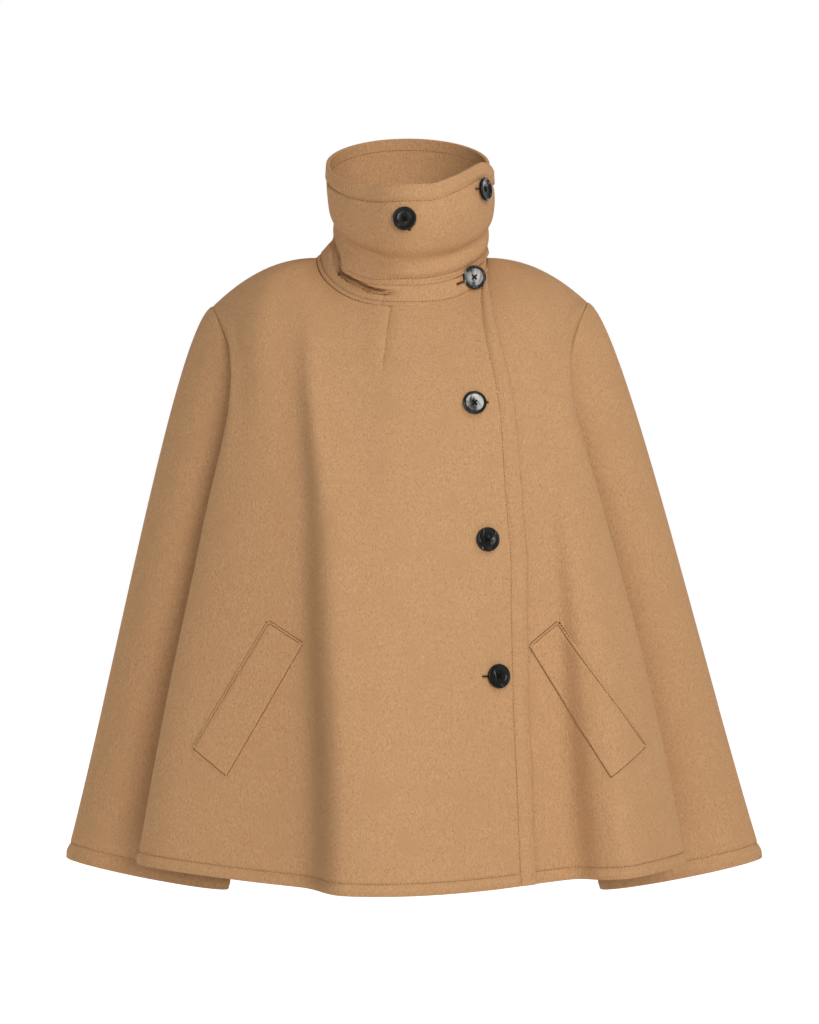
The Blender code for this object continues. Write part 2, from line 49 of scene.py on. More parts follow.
# The coat's form, as in the pattern it is cut to. Across a panel, places run from 0 at the middle of
# the front or back to 1 at the side, below 0 on the wearer's right, and lengths from 0 at the hem to 1
# at the neck.
body = {
    # height, half width, front depth, back depth, half width under the arm
    "rings": [
        (-0.66, 0.327, 0.168, 0.168, 0.181),
        (-0.54, 0.304, 0.163, 0.158, 0.174),
        (-0.42, 0.280, 0.158, 0.150, 0.166),
        (-0.30, 0.255, 0.152, 0.142, 0.158),
    ],
    "ringPower": 2.2,
    "ringShift": -0.005,  # the coat hangs a little to the wearer's right
    "hemFront": -0.663,
    "hemSide": -0.645,
    "hemBack": -0.655,
    "hemRise": 0.75,  # the place where the hem has reached its side height
    "armY": 0.012,  # where an arm hangs, and how far along the side it presses the cloth in
    "armSpan": 0.078,
    "neckShare": 0.30,  # the columns of a panel: neck, then shoulder, then armhole
    "shoulderShare": 0.46,
    "armholeEase": 0.70,
    "chestShare": 0.52,  # the rows of a panel: hem to chest, then chest to neck
    "shoulderHalf": (0.2105, 0.1975),  # wearer's right, left
    "shoulderDrop": (0.052, 0.0475),
    "shoulderPower": 2.1,
    "underarmHalf": 0.166,
    "underarmHeight": -0.250,
    "armholeDepth": 0.072,
    "armholePower": (2.4, 3.4),
    "evenWidth": 0.07,  # how widely the neck and shoulder points are evened out below the seam
    "edgeHold": 5,  # how close under the seam that evening ends
    "sideLean": 1.8,  # how far the cloth in front of an armhole leans in as it rises
    # face, place at its top and at the hem, height where it starts and is full, rise, width, fade
    "folds": [
        ("front", -0.248, -0.138, -0.02, -0.56, 0.050, 0.027, 0.50),
        ("front", -0.280, -0.200, -0.02, -0.56, 0.014, 0.100, 0.50),
        ("front", 0.445, 0.384, -0.10, -0.60, 0.038, 0.032, 0.60),
        ("front", 0.500, 0.450, -0.20, -0.66, 0.028, 0.046, 0.70),
        ("front", -0.700, -0.640, -0.30, -0.62, 0.008, 0.060, 0.30),
        ("back", -0.400, -0.430, -0.14, -0.60, 0.040, 0.050, 0.42),
        ("back", 0.020, 0.000, -0.10, -0.60, 0.034, 0.044, 0.46),
        ("back", 0.430, 0.460, -0.24, -0.64, 0.026, 0.050, 0.40),
    ],
}
lap = {
    # length from hem to neck, place of the free edge
    "edge": [
        (0.00, 0.251),
        (0.15, 0.261),
        (0.25, 0.269),
        (0.40, 0.290),
        (0.52, 0.309),
        (0.60, 0.300),
        (0.68, 0.275),
        (0.76, 0.241),
        (0.84, 0.215),
        (0.92, 0.210),
        (0.96, 0.221),
        (1.00, 0.255),
    ],
    "start": -0.10,  # from here on, the cloth is lifted on to the sheet beneath it
    "lift": 0.0048,
}
neck = {
    # degrees round the lap, how much higher its rim stands than the rim beneath it
    "rimLap": [(0, 0.0), (15, 0.0), (30, 0.007), (45, 0.013), (57, 0.0145), (66, 0.010), (75, 0.003),
               (85, -0.006), (110, -0.012)],
    # the neck seam's middle, half width, reach to the front and back, and heights there
    "x": -0.0045, "half": 0.0925, "front": 0.085, "back": 0.075, "drop": 0.0605, "rise": 0.012,
    "lapDip": 0.006,
    # which way the shoulder cloth runs at the neck and at the tip, and how steeply it meets the neck
    "pointTurn": math.radians(40), "tipTurn": math.radians(20), "steep": 1.6, "pointSteep": 0.15,
    "bandX": 0.002, "bandHalf": 0.0815, "bandFront": 0.075, "bandBack": 0.068,
    "bandTopFront": -0.034, "bandTopSide": 0.016, "bandTopLean": 0.004, "bandTopBack": 0.034,
    "rimHeight": 0.103, "rimTilt": 0.037,
    "bandEnd": 435, "collarEnd": 468,  # degrees round the neck from the front, lap included
    # share of the height, centre, half width, half depth
    "collarRows": [
        (0.00, 0.002, 0.0815, 0.0750),
        (0.14, 0.003, 0.0810, 0.0760),
        (0.34, 0.003, 0.0855, 0.0800),
        (0.60, 0.003, 0.0885, 0.0825),
        (0.82, 0.002, 0.0885, 0.0815),
        (1.00, 0.002, 0.0875, 0.0790),
    ],
}
sleeve = {
    "cuffRightX": 0.2825, "cuffLeftX": 0.3005, "cuffY": 0.020, "cuffHeight": -0.6705,
    "cuffHalf": 0.0885, "cuffTilt": 0.0175, "cuffDepth": 0.042,
    "cuffStitch": 0.017,
    "length": 0.66,
    "turnStep": 4.0,  # degrees from one column to the next
}


def smooth(share):
    share = np.clip(share, 0.0, 1.0)
    return share * share * (3 - 2 * share)


def bump(value, width):
    return np.exp(-(value / width) ** 2)


def point(x, y, z):
    return np.stack(np.broadcast_arrays(x, y, z), axis=-1).astype(float)


def unit(v):
    return v / np.maximum(np.linalg.norm(v, axis=-1, keepdims=True), 1e-12)


# from start to end, leaving and arriving in the given ways
def hermite(start, end, leave, arrive, s):
    return (
        (2 * s ** 3 - 3 * s ** 2 + 1) * start
        + (s ** 3 - 2 * s ** 2 + s) * leave
        + (3 * s ** 2 - 2 * s ** 3) * end
        + (s ** 3 - s ** 2) * arrive
    )


# a smooth curve through a table's rows, read at value
def curveThrough(value, rows, column=1):
    xs = np.array([row[0] for row in rows], float)
    ys = np.array([row[column] for row in rows], float)
    slopes = np.gradient(ys, xs)
    value = np.clip(value, xs[0], xs[-1])
    i = np.clip(np.searchsorted(xs, value) - 1, 0, len(xs) - 2)
    span = xs[i + 1] - xs[i]
    return hermite(ys[i], ys[i + 1], slopes[i] * span, slopes[i + 1] * span, (value - xs[i]) / span)


def ringValue(height, column):
    return curveThrough(height, body["rings"], column)


# each fold steps forward at its place, and falls back gently to the coat's left of it
def foldRise(face, across, height):
    total = 0.0
    for name, placeTop, placeHem, top, full, rise, width, fade in body["folds"]:
        if name != face:
            continue
        fall = smooth((top - height) / (top - body["hemFront"]))
        beyond = across - placeTop - (placeHem - placeTop) * fall
        step = 0.5 + 0.5 * np.tanh(beyond / width)
        total = total + rise * smooth((top - height) / (top - full)) * step * (1 - smooth(beyond / fade))
    return total


# the body below the armholes: flat ovals, pressed in beside the arms, with the folds on them
def ringPoint(face, across, height):
    angle = np.abs(across) * math.pi / 2
    halfWidth = ringValue(height, 1)
    depth = ringValue(height, 2 if face == "front" else 3)
    power = 2 / body["ringPower"]
    x = halfWidth * np.sin(angle) ** power
    y = depth * np.maximum(np.cos(angle), 0.0) ** power
    y = y + foldRise(face, across, height) * smooth(y / (0.4 * depth))
    y = -y if face == "front" else y
    squeeze = halfWidth - ringValue(height, 4)
    x = x - squeeze * np.exp(-((y - body["armY"]) / body["armSpan"]) ** 4)
    return point(np.copysign(x, across) + body["ringShift"], y, height)


# the hem rises towards the side seams
def hemHeight(face, across):
    middle = body["hemFront"] if face == "front" else body["hemBack"]
    return middle + (body["hemSide"] - middle) * smooth(np.abs(across) / body["hemRise"])


# degrees run round the neck from the front by the wearer's left
def neckSeam(degrees):
    turn = np.radians(degrees)
    forward = np.cos(turn)
    depth = np.where(forward > 0, neck["front"], neck["back"])
    drop = np.where(forward > 0, neck["drop"], neck["rise"])
    place = np.mod(degrees, 360)
    dip = np.where((place > 0) & (place < 90), neck["lapDip"] * np.sin(2 * turn) ** 2, 0.0)
    return point(neck["x"] + neck["half"] * np.sin(turn), -depth * forward, -drop * forward - dip)


def bandTop(degrees):
    turn = np.radians(degrees)
    forward = np.cos(turn)
    depth = np.where(forward > 0, neck["bandFront"], neck["bandBack"])
    side = neck["bandTopSide"] - neck["bandTopLean"] * np.sin(turn)
    end = np.where(forward > 0, neck["bandTopFront"], neck["bandTopBack"])
    height = side + (end - side) * np.abs(forward)
    return point(neck["bandX"] + neck["bandHalf"] * np.sin(turn), -depth * forward, height)


def bandPoint(degrees, share):
    low = neckSeam(degrees)
    return low + (bandTop(degrees) - low) * np.asarray(share)[..., None]


# a flared tube that starts on the band's top edge
def collarPoint(degrees, share):
    turn = np.radians(degrees)
    centre, halfWidth, halfDepth = (curveThrough(share, neck["collarRows"], i) for i in (1, 2, 3))
    base = bandTop(degrees)
    rim = neck["rimHeight"] - neck["rimTilt"] * np.cos(turn)
    rim = rim + curveThrough(np.clip(np.asarray(degrees) - 360, 0, 110), neck["rimLap"])
    whole = point(
        centre + halfWidth * np.sin(turn),
        -halfDepth * np.cos(turn),
        base[..., 2] + (rim - base[..., 2]) * share,
    )
    return base + (whole - base) * smooth(np.asarray(share) / neck["collarRows"][1][0])[..., None]


# a value of the wearer's right or left side, where side is -1 or 1
def ofSide(key, side):
    right, left = body[key]
    return np.where(np.asarray(side) > 0, left, right)


def armholePoint(face, side, degrees):
    turn = np.radians(degrees)
    upper = (1 + np.cos(turn)) / 2
    reach = ofSide("shoulderHalf", side) - body["underarmHalf"]
    x = body["underarmHalf"] + reach * upper ** ofSide("armholePower", side)
    depth = body["armholeDepth"] * np.sin(turn)
    y = body["armY"] + np.where(face == "front", -depth, depth)
    z = body["underarmHeight"] + (-ofSide("shoulderDrop", side) - body["underarmHeight"]) * upper
    return point(side * x, y, z)


def armholeDegrees(across):
    share = (np.abs(across) - body["shoulderShare"]) / (1 - body["shoulderShare"])
    return 180 * np.clip(share, 0, 1) ** body["armholeEase"]


# where a panel's column ends at the neck, shoulder or armhole, and the way the cloth arrives there
def topEdge(face, across):
    across = np.asarray(across, float)
    side = np.where(across < 0, -1.0, 1.0)
    place = np.abs(across)
    inward = 1.0 if face == "front" else -1.0

    share = np.clip(place / body["neckShare"], 0, 1)
    level = smooth(share)
    turn = neck["pointTurn"] * share
    degrees = 90 * share if face == "front" else 180 - 90 * share
    neckPoint = neckSeam(side * degrees)
    steep = neck["steep"] * (1 - level) + neck["pointSteep"] * level
    neckWay = point(-side * np.sin(turn), inward * np.cos(turn), steep)

    share = np.clip((place - body["neckShare"]) / (body["shoulderShare"] - body["neckShare"]), 0, 1)
    start = neckSeam(side * 90)
    turn = neck["pointTurn"] * (1 - share) - neck["tipTurn"] * share
    shoulderPoint = point(
        start[..., 0] + (side * ofSide("shoulderHalf", side) - start[..., 0]) * share,
        body["armY"] * share,
        -ofSide("shoulderDrop", side) * share ** body["shoulderPower"],
    )
    shoulderWay = point(-side * np.sin(turn), inward * np.cos(turn), neck["pointSteep"] * (1 - share))

    degrees = armholeDegrees(across)
    half = np.radians(degrees / 2)
    level = np.cos(half) ** 2
    lean = body["sideLean"] * (1 - level) ** 2 * np.sin(2 * half) ** 6 if face == "front" else 0.0
    outwards = math.sin(neck["tipTurn"]) * level - lean
    armPoint = armholePoint(face, side, degrees)
    armWay = point(side * outwards, inward * math.cos(neck["tipTurn"]) * level, 0.9 * np.sin(half))

    onNeck = (place <= body["neckShare"])[..., None]
    onShoulder = (place <= body["shoulderShare"])[..., None]
    where = np.where(onNeck, neckPoint, np.where(onShoulder, shoulderPoint, armPoint))
    way = np.where(onNeck, neckWay, np.where(onShoulder, shoulderWay, armWay))
    return where, unit(way)


# the same edge with its corners at the neck and shoulder points evened out, for the cloth below
def evenTopEdge(face, across):
    place = np.abs(across)
    width = body["evenWidth"] * smooth((1 - place) / 0.25)
    offsets = np.linspace(-1.6, 1.6, 9)
    weights = np.exp(-offsets ** 2)
    tops, ways = 0.0, 0.0
    for offset, weight in zip(offsets, weights / weights.sum()):
        top, way = topEdge(face, across + np.where(across < 0, -1, 1) * offset * width)
        tops, ways = tops + top * weight, ways + way * weight
    return tops, unit(ways)


# straight rings up to the chest, then a curve that sweeps in to the neck, shoulder or armhole
def bodyPoint(face, across, length):
    across, length = np.broadcast_arrays(np.asarray(across, float), np.asarray(length, float))
    chestHeight = body["rings"][-1][0]
    hem = hemHeight(face, across)
    low = ringPoint(face, across, hem + (chestHeight - hem) * np.minimum(length / body["chestShare"], 1))
    chest = ringPoint(face, across, np.full(across.shape, chestHeight))
    slope = chest - ringPoint(face, across, np.full(across.shape, chestHeight - 0.02))
    share = np.clip((length - body["chestShare"]) / (1 - body["chestShare"]), 0, 1)
    top, arrive = topEdge(face, across)
    evenTop, evenArrive = evenTopEdge(face, across)
    hold = share[..., None] ** body["edgeHold"]
    top = evenTop + (top - evenTop) * hold
    arrive = unit(evenArrive + (arrive - evenArrive) * hold)
    reach = np.linalg.norm(top - chest, axis=-1, keepdims=True)
    high = hermite(chest, top, unit(slope) * reach, arrive * reach, share[..., None])
    return np.where((length <= body["chestShare"])[..., None], low, high)


# how far the lap stands off what it lies on
def lapLift(across):
    return lap["lift"] * smooth((across - lap["start"]) / -lap["start"])


# from the armhole down to the cuff, turning from the shoulder by the front
def sleevePoint(side, turn, share):
    turn, share = np.broadcast_arrays(np.asarray(turn, float), np.asarray(share, float))
    front = turn <= 180
    degrees = np.where(front, turn, 360 - turn)
    start = np.where(front[..., None], *(armholePoint(face, side, degrees) for face in ("front", "back")))
    start = start * np.array([side, 1, 1])
    angle = np.radians(turn)
    upper = (1 + np.cos(angle)) / 2
    across = np.sin(angle)
    cuffX = sleeve["cuffLeftX"] if side > 0 else sleeve["cuffRightX"]
    end = point(
        cuffX + sleeve["cuffHalf"] * np.cos(angle),
        sleeve["cuffY"] - sleeve["cuffDepth"] * across,
        sleeve["cuffHeight"] + sleeve["cuffTilt"] * np.cos(angle),
    )
    # the cloth leaves the armhole outwards over the shoulder, and downwards under the arm
    leave = unit(point(0.02 + 0.95 * upper + 0.30 * across ** 2, 0.25 * across, -0.9 + 0.55 * upper ** 4))
    leave = leave * (0.12 + 0.17 * across ** 2)[..., None]
    return hermite(start, end, leave, end - start, share[..., None]) * np.array([side, 1, 1])


# Cloth, as a closed shell with rounded edges.
cloth = {
    "thickness": 0.0030,
    "gap": 0.0003,  # open width of a seam
    "seamRound": 0.0008,  # how far an edge's face bulges
    "edgeReach": 0.012,  # how far from an edge its draw-in fades
    "roundSteps": (30, 60, 90),  # degrees round an edge
}


# distances from 0 to length, with finer steps round the named places: (place, finest step)
def stepsTo(length, step, fineAt=()):
    places = [0.0]
    while places[-1] < length:
        here = places[-1]
        near = [fine + 0.30 * abs(here - place) for place, fine in fineAt]
        places.append(here + min([step] + near))
    return np.array(places) * length / places[-1]


# how far each point of a grid lies from an edge, measured over the cloth
def fromEdge(grid, axis, last=False):
    lines = np.moveaxis(grid, axis, 0)
    spans = np.linalg.norm(np.diff(lines, axis=0), axis=-1)
    total = np.concatenate([np.zeros((1,) + spans.shape[1:]), np.cumsum(spans, axis=0)])
    return np.moveaxis(total[-1] - total if last else total, 0, axis)


# points near an edge move back, so that a rounded edge ends on the seam line
def drawIn(grid, axis):
    shift = sum(way * np.exp(-fromEdge(grid, axis, last) / cloth["edgeReach"])
                for way, last in ((1, False), (-1, True)))
    shift = shift * (cloth["seamRound"] + cloth["gap"] / 2)
    return grid + unit(np.gradient(grid, axis=axis)) * shift[..., None]


# normals that point away from the centre
def gridNormals(grid, wraps, centre):
    if wraps:
        padded = np.concatenate([grid[:, -1:], grid, grid[:, :1]], axis=1)
        across = padded[:, 2:] - padded[:, :-2]
    else:
        across = np.gradient(grid, axis=1)
    along = np.gradient(grid, axis=0)
    normals = unit(np.cross(across, along))
    facing = np.sign(np.sum(normals * (grid - centre)))
    return normals * facing


# adds rows that carry the outer and inner face round an edge, until they meet
def roundEdge(outer, inner, axis, last):
    lines = [np.moveaxis(grid, axis, 0) for grid in (outer, inner)]
    index, inside = (-1, -2) if last else (0, 1)
    edge, back = lines[0][index], lines[1][index]
    radius = np.maximum(np.linalg.norm(edge - back, axis=-1, keepdims=True) / 2, 0.0002)
    up = unit(edge - back)
    out = sum(line[index] - line[inside] for line in lines)
    out = unit(out - up * np.sum(out * up, axis=-1, keepdims=True))
    extended = []
    for side, start, line in ((1, edge, lines[0]), (-1, back, lines[1])):
        ring = []
        for a in np.radians(cloth["roundSteps"]):
            bulge = out * cloth["seamRound"] * math.sin(a) ** 0.7
            ring.append(start + bulge - side * up * radius * (1 - math.cos(a)))
        line = np.concatenate([line, ring]) if last else np.concatenate([ring[::-1], line])
        extended.append(np.moveaxis(line, 0, axis))
    return extended


def newObject(name, mesh, materials):
    obj = bpy.data.objects.new(name, mesh)
    bpy.context.scene.collection.objects.link(obj)
    for material in materials:
        mesh.materials.append(material)
    mesh.polygons.foreach_set("use_smooth", [True] * len(mesh.polygons))
    return obj


# outer and inner are grids of points; their common boundary closes the shell
def shellObject(name, outer, inner, wraps, materials):
    for axis in [0] if wraps else [0, 1]:
        for last in (False, True):
            outer, inner = roundEdge(outer, inner, axis, last)
    rows, columns = outer.shape[:2]
    count = rows * columns
    outerIndex = np.arange(count).reshape(rows, columns)
    innerIndex = outerIndex + count
    innerIndex[0], innerIndex[-1] = outerIndex[0], outerIndex[-1]
    if not wraps:
        innerIndex[:, 0], innerIndex[:, -1] = outerIndex[:, 0], outerIndex[:, -1]
    faces = []
    for grid, turned in ((outerIndex, False), (innerIndex, True)):
        if wraps:
            grid = np.concatenate([grid, grid[:, :1]], axis=1)
        corners = [grid[:-1, :-1], grid[:-1, 1:], grid[1:, 1:], grid[1:, :-1]]
        quads = np.stack(corners, axis=-1).reshape(-1, 4)
        faces.append(quads[:, ::-1] if turned else quads)
    used, faces = np.unique(np.concatenate(faces), return_inverse=True)
    faces = faces.reshape(-1, 4)
    points = np.concatenate([outer.reshape(-1, 3), inner.reshape(-1, 3)])[used]
    a, b, c, d = (points[faces[:, i]] for i in range(4))  # the faces are turned outwards
    volume = np.sum(np.cross(b - a, c - a) * a) + np.sum(np.cross(c - a, d - a) * a)
    if volume < 0:
        faces = faces[:, ::-1]
    mesh = bpy.data.meshes.new(name)
    mesh.from_pydata(points.tolist(), [], faces.tolist())
    mesh.update()
    return newObject(name, mesh, materials)


# the point of the coat's upright middle line level with each point
def flatCentre(grid):
    centre = grid.copy()
    centre[..., :2] = (0, 0.01)
    return centre


# a panel of wool on a grid of points, and that grid with its normals and relief
def panel(name, base, relief, wraps=False, centre=None):
    centre = flatCentre(base) if centre is None else centre
    base = drawIn(base, 0)
    if not wraps:
        base = drawIn(base, 1)
    normals = gridNormals(base, wraps, centre)
    outer = base + normals * relief[..., None]
    inner = base - normals * cloth["thickness"]
    return shellObject(name, outer, inner, wraps, [woolMaterial]), (base, normals, relief)


# adds a node, with its settings by name and its inputs by name or number
def addNode(tree, kind, inputs, **settings):
    node = tree.nodes.new("ShaderNode" + kind)
    for key, value in settings.items():
        setattr(node, key, value)
    setInputs(tree, node, inputs)
    return node


def setInputs(tree, node, inputs):
    for key, value in inputs.items():
        if isinstance(value, bpy.types.NodeSocket):
            tree.links.new(value, node.inputs[key])
        else:
            node.inputs[key].default_value = value


# a colour between two, as a grey value goes from low to high
def mixColours(tree, first, second, value, low, high):
    share = addNode(tree, "MapRange", {"Value": value, "From Min": low, "From Max": high}).outputs[0]
    return addNode(tree, "Mix", {0: share, 6: first, 7: second}, data_type="RGBA").outputs[2]


def newMaterial(name):
    material = bpy.data.materials.new(name)
    material.use_nodes = True
    return material, material.node_tree, material.node_tree.nodes["Principled BSDF"]


# Wool woven, felted and brushed, then dyed as cloth: the raised nap hides the weave, catches light
# at the cloth's turned-away edges and leaves fine light and dark specks where fibres bunch.
def brushedWool(name, look):
    material, tree, shader = newMaterial(name)
    place = addNode(tree, "TexCoord", {}).outputs["Object"]
    brushed = addNode(tree, "Mapping", {"Vector": place, "Scale": (1, 1, look["napLength"])}).outputs[0]
    noises = ((brushed, "speckSize", 2.5, 0.65), (brushed, "tuftSize", 3.0, 0.6),
              (place, "cloudSize", 2.0, 0.5))
    speck, tuft, cloud = (
        addNode(tree, "TexNoise", {"Vector": vector, "Scale": 1 / look[size], "Detail": detail,
                                   "Roughness": roughness}).outputs["Fac"]
        for vector, size, detail, roughness in noises)
    dark, body, light, shade = (hexToLinear(look[key]) for key in ("dark", "body", "light", "shade"))
    colour = mixColours(tree, dark, body, speck, 0.30, 0.52)
    colour = mixColours(tree, colour, light, tuft, 0.50, 0.78)
    colour = mixColours(tree, colour, shade, cloud, 0.50, 0.80)
    nap = addNode(tree, "Bump", {"Height": tuft, "Strength": look["napDepth"], "Distance": look["napHeight"]})
    fibre = addNode(tree, "Bump", {"Height": speck, "Strength": look["fibreDepth"],
                                   "Distance": look["fibreHeight"], "Normal": nap.outputs[0]})
    setInputs(tree, shader, {
        "Base Color": colour, "Normal": fibre.outputs[0], "Roughness": 1.0, "Specular IOR Level": 0.1,
        "Sheen Weight": look["sheen"], "Sheen Roughness": 0.45, "Sheen Tint": light,
    })
    return material


wool = {
    "body": "#C6996F", "dark": "#AE8052", "light": "#CFA67C", "shade": "#C09469",
    "speckSize": 0.0012,  # a fibre is 0.02 mm, so bunches of fibres are drawn, as coarse as they show
    "tuftSize": 0.0019,
    "cloudSize": 0.030,
    "napLength": 0.5,  # below 1 the nap runs down the cloth
    "napDepth": 0.75, "napHeight": 0.0017,
    "fibreDepth": 0.5, "fibreHeight": 0.0006,
    "sheen": 0.05,
}
thread = dict(wool, body="#AA7E54", dark="#8C6740", light="#BD9167", shade="#9C7249",
              speckSize=0.0004, tuftSize=0.0008)
woolMaterial = brushedWool("felted and brushed camel wool", wool)
threadMaterial = brushedWool("matt camel sewing thread", thread)


# Sewing: topstitches, and the relief that they pull into the cloth.
sewing = {
    "pitch": 0.0038,  # from one stitch to the next
    "length": 0.0030,
    "radius": 0.00042,
    "grooveDepth": 0.0011,  # how far a line of stitches pulls the cloth in
    "grooveWidth": 0.0015,
    "puff": 0.0016,  # how far the cloth swells between a line and its edge
}


def groove(distance, at, depth=1.0):
    return -depth * sewing["grooveDepth"] * bump(distance - at, sewing["grooveWidth"])


# the relief beside a topstitched edge: a groove, and a soft swell on to the edge
def stitchedEdge(distance, inset):
    swell = sewing["puff"] * bump(distance - inset * 0.45, inset * 0.32)
    return groove(distance, inset) + swell


# the line that lies at one distance from an edge, as points and normals
def lineInside(cloths, axis, inset, last=False, keep=slice(None)):
    grid, normals, relief = cloths
    distance = np.moveaxis(fromEdge(grid, axis, last), axis, 0)
    top = np.moveaxis(grid + normals * relief[..., None], axis, 0)
    ways = np.moveaxis(normals, axis, 0)
    if last:
        distance, top, ways = distance[::-1], top[::-1], ways[::-1]
    lines = [np.array([[np.interp(inset, distance[:, j], values[:, j, k]) for k in range(3)]
                       for j in range(distance.shape[1])]) for values in (top, ways)]
    return [line[keep] for line in lines]


# stitches laid end to end along a line: their middles, ways and normals
def stitchesAlong(line, pitch):
    points, normals = line
    spans = np.linalg.norm(np.diff(points, axis=0), axis=1)
    along = np.concatenate([[0], np.cumsum(spans)])
    middles = np.arange(pitch, along[-1] - pitch / 2, pitch)
    before, at, after, facing = (
        np.stack([np.interp(places, along, values[:, k]) for k in range(3)], axis=1)
        for places, values in ((middles - 0.001, points), (middles, points), (middles + 0.001, points),
                               (middles, normals)))
    return at, unit(after - before), unit(facing)


# the faces between rings of points
def tubeFaces(rings, steps):
    sides = [(ring * steps + k, ring * steps + (k + 1) % steps)
             for ring in range(rings - 1) for k in range(steps)]
    return [(a, b, b + steps, a + steps) for a, b in sides]


def stitchLine(cloths, axis, inset, last=False, keep=slice(None), pitch=sewing["pitch"]):
    return stitchesAlong(lineInside(cloths, axis, inset, last, keep), pitch)


# one mesh of many stitches, each a short bow of thread with its ends in the cloth
def sew(name, groups, length=sewing["length"], radius=sewing["radius"], material=threadMaterial):
    centres, ways, normals = (np.concatenate(parts) for parts in zip(*groups))
    sides = unit(np.cross(normals, ways))
    rings = []
    for share in (-1.0, -0.75, -0.25, 0.25, 0.75, 1.0):
        thick = radius * math.sqrt(max(1 - share ** 2, 0.02))
        bow = radius * (0.55 - 0.9 * share ** 2)
        middle = centres + ways * share * length / 2 + normals * bow
        for turn in np.arange(6) * math.pi / 3:
            rings.append(middle + sides * thick * math.cos(turn) + normals * thick * math.sin(turn))
    points = np.stack(rings, axis=1)
    starts = np.arange(len(points)) * points.shape[1]
    faces = (np.array(tubeFaces(6, 6))[None] + starts[:, None, None]).reshape(-1, 4)
    caps = [tuple(start + k for k in order) for start in starts
            for order in ((5, 4, 3, 2, 1, 0), (30, 31, 32, 33, 34, 35))]
    mesh = bpy.data.meshes.new(name)
    mesh.from_pydata(points.reshape(-1, 3).tolist(), [], faces.tolist() + caps)
    obj = newObject(name, mesh, [material])
    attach(obj, "root")


# Body panels: grids of points in rows from hem to neck, finer at edges and stitches.
front = {
    "step": 0.0045, "fineStep": 0.0008,
    "length": 0.69, "halfWidth": 0.42,
    "edgeStitch": 0.0165,
    "edgeStrip": 0.030,  # the strip beside the lap's edge that follows it
    "hemStitch": 0.012,
    "dart": [(-0.0174, -0.0600), (-0.0268, -0.1420)],  # x and z of the neck dart's ends
    "dartDepth": 0.0013, "dartWidth": 0.0011,
    "dartDip": 0.0012, "dartDipWidth": 0.006,  # the soft hollow about it
    "dartFade": 0.035,
}
fineRows = [(0, front["fineStep"]), (front["hemStitch"], 0.0009), (front["length"], front["fineStep"])]
lengths = stepsTo(front["length"], front["step"], fineRows) / front["length"]


# places from the middle of a panel to its side seam
def halfPlaces(fineAt=()):
    fine = [(front["halfWidth"], front["fineStep"])] + [(at, 0.0007) for at in fineAt]
    return stepsTo(front["halfWidth"], front["step"], fine) / front["halfWidth"]


# metres over the cloth for each step of a panel's place, at the lap's edge
def placeSpeed(length):
    place = curveThrough(length, lap["edge"])
    before, after = (bodyPoint("front", place + step, length) for step in (-0.002, 0.002))
    return np.linalg.norm(after - before, axis=-1) / 0.004


# the dart's seam: a groove that fades at its point
def dartRelief(grid):
    (x0, z0), (x1, z1) = front["dart"]
    share = np.clip((z0 - grid[..., 2]) / (z0 - z1), -1, 1)
    off = grid[..., 0] - x0 - (x1 - x0) * share
    strength = smooth((grid[..., 2] - z1) / front["dartFade"]) * (grid[..., 1] < 0)
    seam = front["dartDepth"] * bump(off, front["dartWidth"])
    return -strength * (seam + front["dartDip"] * bump(off, front["dartDipWidth"]))


def frontRight():
    right = -halfPlaces((0.011, 0.0145, 0.018, 0.0215))[::-1]  # finer columns for the dart
    inset, strip = front["edgeStitch"], front["edgeStrip"]
    edgeSteps = stepsTo(strip, 0.004, [(0, front["fineStep"]), (inset, 0.0009)])[::-1]
    edge = curveThrough(lengths, lap["edge"])
    speed = placeSpeed(lengths)
    across = np.concatenate([
        np.broadcast_to(right, (len(lengths), len(right))),
        (edge - strip / speed)[:, None] * np.linspace(0, 1, 24)[None, 1:-1],
        edge[:, None] - edgeSteps[None, :] / speed[:, None],
    ], axis=1)
    grid = bodyPoint("front", across, lengths[:, None])
    normals = gridNormals(grid, False, flatCentre(grid))
    grid = grid + normals * lapLift(across)[..., None]
    free = fromEdge(grid, 1, True)
    hem = stitchedEdge(fromEdge(grid, 0), front["hemStitch"]) * smooth((free - inset) / 0.002 + 0.5)
    piece, sewn = panel("front_right_cloth", grid, stitchedEdge(free, inset) + hem + dartRelief(grid))
    beyond = int(np.argmin(np.abs(free[0] - inset)))
    neckRows = fromEdge(grid, 0, True)[:, -1] > 0.001
    sew("front_right_stitching", [
        stitchLine(sewn, 1, inset, True, neckRows),
        stitchLine(sewn, 0, front["hemStitch"], False, slice(2, beyond)),
    ])
    return piece


# a panel whose only topstitching runs along its hem
def hemmedPanel(name, face, places):
    grid = bodyPoint(face, np.broadcast_to(places, (len(lengths), len(places))), lengths[:, None])
    piece, sewn = panel(name + "_cloth", grid, stitchedEdge(fromEdge(grid, 0), front["hemStitch"]))
    sew(name + "_stitching", [stitchLine(sewn, 0, front["hemStitch"], False, slice(2, -2))])
    return piece


def sleevePanel(name, side):
    length, inset = sleeve["length"], sleeve["cuffStitch"]
    shares = stepsTo(length, 0.005, [(0, 0.0008), (length, 0.0008), (length - inset, 0.0009)]) / length
    turn, share = np.meshgrid(np.arange(0, 360, sleeve["turnStep"]), shares)
    grid = sleevePoint(side, turn, share)
    relief = stitchedEdge(fromEdge(grid, 0, True), inset)
    piece, sewn = panel(name + "_cloth", grid, relief, True, grid.mean(axis=1, keepdims=True))
    closed = [np.concatenate([values, values[:1]]) for values in lineInside(sewn, 0, inset, True)]
    sew(name + "_stitching", [stitchesAlong(closed, sewing["pitch"])])
    return piece


